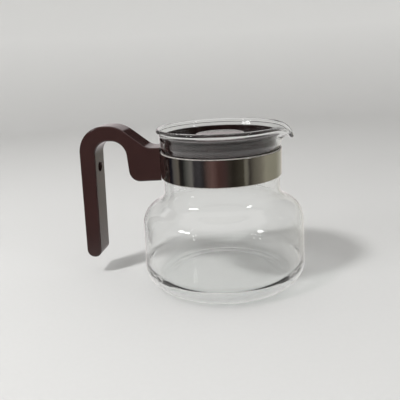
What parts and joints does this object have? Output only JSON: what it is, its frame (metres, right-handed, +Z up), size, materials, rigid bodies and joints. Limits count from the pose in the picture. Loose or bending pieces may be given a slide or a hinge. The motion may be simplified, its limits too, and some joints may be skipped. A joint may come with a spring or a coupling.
{
  "type": "coffee jug",
  "caption": "Glass jug of a drip coffee maker with a pouring lip, steel neck band, screwed-on hooked handle and lift-out lid with a knob.",
  "frame": {"origin": "middle of the jug's flat base, on the surface it stands on", "axes": "+Z up along the jug's axis, +X towards the pouring lip, -X towards the handle"},
  "size_m": [0.1916, 0.1378, 0.1332],
  "materials": {
    "glass": "clear polished borosilicate glass",
    "clear_plastic": "translucent plastic strip",
    "band_steel": "polished stainless steel",
    "plated_steel": "zinc plated steel",
    "brown_plastic": "glossy dark red-brown moulded plastic"
  },
  "bodies": {
    "jug": {"glass_jug": "glass", "band_liner": "clear_plastic", "neck_band": "band_steel", "tension_yoke": "plated_steel", "clamp_screw": "plated_steel", "clamp_washer": "plated_steel", "handle": "brown_plastic"},
    "lid": {"lid_dish": "brown_plastic", "lid_knob": "brown_plastic"}
  },
  "joints": [
    {"name": "lid_lift", "type": "slide", "parent": "jug", "child": "lid", "axis": [0, 0, 1], "range_m": [0, 0.06]}
  ]
}
